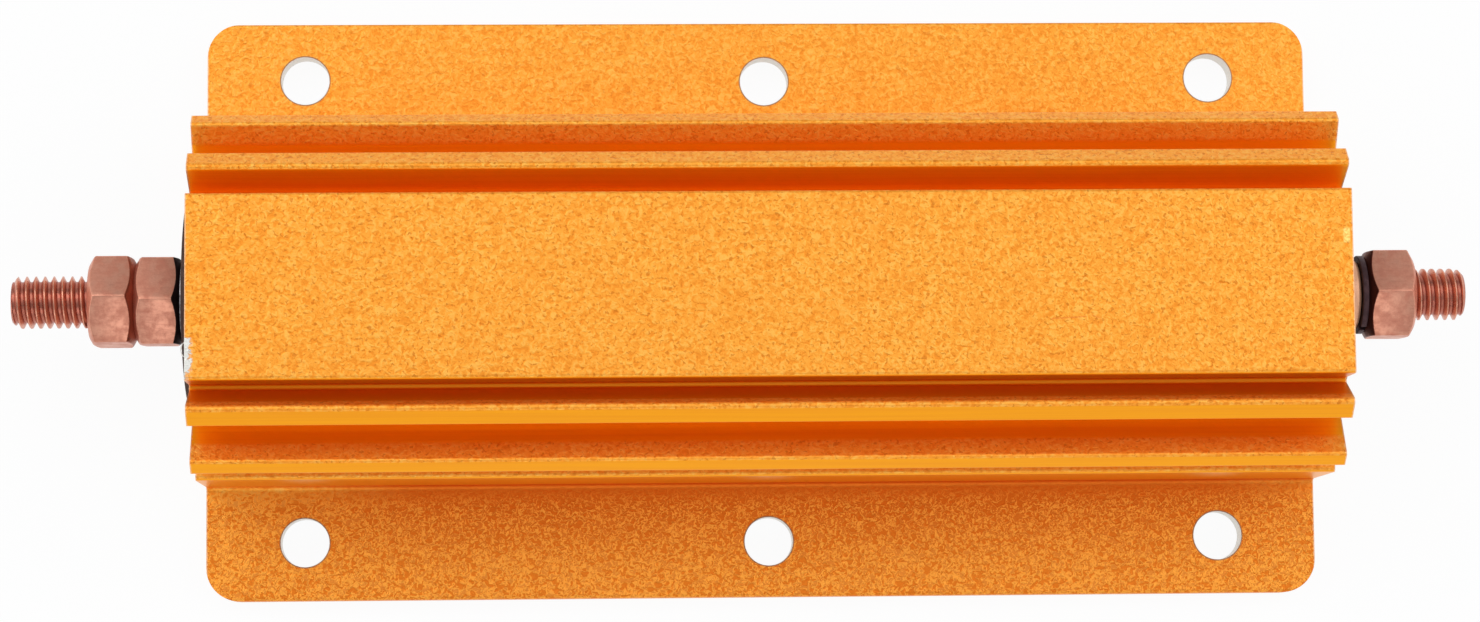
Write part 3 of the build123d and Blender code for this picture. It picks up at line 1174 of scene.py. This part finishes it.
def light_room(scene):
    """The world: white to the camera and low down in mirrors, a plain cool light elsewhere."""
    world = bpy.data.worlds.new("Studio")
    scene.world = world
    world.use_nodes = True
    n = Nodes(world.node_tree)
    n.tree.nodes.clear()
    rays = n.tree.nodes.new("ShaderNodeLightPath").outputs
    mirrored = n.most(rays["Is Glossy Ray"], rays["Is Transmission Ray"])
    sky = n.tree.nodes.new("ShaderNodeSeparateXYZ")
    n.put(sky.inputs[0], n.add("ShaderNodeTexCoord", out="Generated"))
    low_down = n.span(sky.outputs[2], *HORIZON)
    seen = n.most(rays["Is Camera Ray"], n.times(mirrored, low_down))
    back = n.tree.nodes.new("ShaderNodeBackground")
    n.put(back.inputs["Color"], n.mix(seen, ROOM_TINT, (1.0, 1.0, 1.0, 1.0)))
    n.put(back.inputs["Strength"], n.most(seen, ROOM_LIGHT))
    end = n.tree.nodes.new("ShaderNodeOutputWorld")
    n.put(end.inputs["Surface"], back.outputs[0])


def lamp(name, bearing, height, reach, size, shine):
    """A square soft box facing the part. Bearing 0 is +Y, and shine is its radiance."""
    turn, rise = math.radians(bearing), math.radians(height)
    level = math.cos(rise)
    where = Vector((math.sin(turn) * level, math.cos(turn) * level, math.sin(rise))) * reach
    data = bpy.data.lights.new(name, "AREA")
    data.size = size
    data.energy = shine * math.pi * size * size
    light = bpy.data.objects.new(name, data)
    bpy.context.scene.collection.objects.link(light)
    light.location = where + Vector((0, 0, AXIS_HEIGHT))
    light.rotation_mode = "QUATERNION"
    light.rotation_quaternion = (-where).to_track_quat("-Z", "Y")
    light.visible_camera = False


def set_camera(scene):
    """The camera that looks down on the part."""
    lens = bpy.data.cameras.new("Camera")
    lens.sensor_width = 36.0
    lens.lens = CAMERA_LENS
    lens.clip_start = 0.01
    lens.clip_end = 20.0
    camera = bpy.data.objects.new("Camera", lens)
    scene.collection.objects.link(camera)
    about_x, about_y, about_z = (
        Matrix.Rotation(math.radians(turn), 4, axis) for turn, axis in zip(CAMERA_TURN, "XYZ")
    )
    camera.matrix_world = Matrix.Translation(CAMERA_PLACE) @ about_x @ about_y @ about_z
    scene.camera = camera


class RESISTOR_OT_stage(bpy.types.Operator):
    """Sets the floor, the lamps and the camera"""

    bl_idname = "resistor.stage"
    bl_label = "Stage"

    def execute(self, context):
        scene = context.scene
        scene.view_settings.view_transform = "Standard"
        lay_floor()
        light_room(scene)
        for values in LAMPS:
            lamp(*values)
        set_camera(scene)
        return {"FINISHED"}


class RESISTOR_PT_panel(bpy.types.Panel):
    """Lists the sizes, the colours and the steps"""

    bl_label = "Housed Resistor"
    bl_idname = "RESISTOR_PT_panel"
    bl_space_type = "VIEW_3D"
    bl_region_type = "UI"
    bl_category = "Resistor"

    def draw(self, context):
        layout = self.layout
        for group in (context.scene.resistor_sizes, context.scene.resistor_colours):
            box = layout.box()
            for name in type(group).__annotations__:
                box.prop(group, name)
        for step in STEPS_IN_ORDER:
            layout.operator(step.bl_idname)


STEPS_IN_ORDER = (
    RESISTOR_OT_housing,
    RESISTOR_OT_element,
    RESISTOR_OT_studs,
    RESISTOR_OT_nuts,
    RESISTOR_OT_washers,
    RESISTOR_OT_stage,
)
CLASSES = (ResistorSizes, ResistorColours, *STEPS_IN_ORDER, RESISTOR_PT_panel)


def register():
    for cls in CLASSES:
        bpy.utils.register_class(cls)
    bpy.types.Scene.resistor_sizes = PointerProperty(type=ResistorSizes)
    bpy.types.Scene.resistor_colours = PointerProperty(type=ResistorColours)


def unregister():
    del bpy.types.Scene.resistor_colours
    del bpy.types.Scene.resistor_sizes
    for cls in reversed(CLASSES):
        bpy.utils.unregister_class(cls)


def main():
    register()
    bpy.ops.resistor.housing()
    bpy.ops.resistor.element()
    bpy.ops.resistor.studs()
    bpy.ops.resistor.nuts()
    bpy.ops.resistor.washers()
    bpy.ops.resistor.stage()


if __name__ == "__main__":
    main()
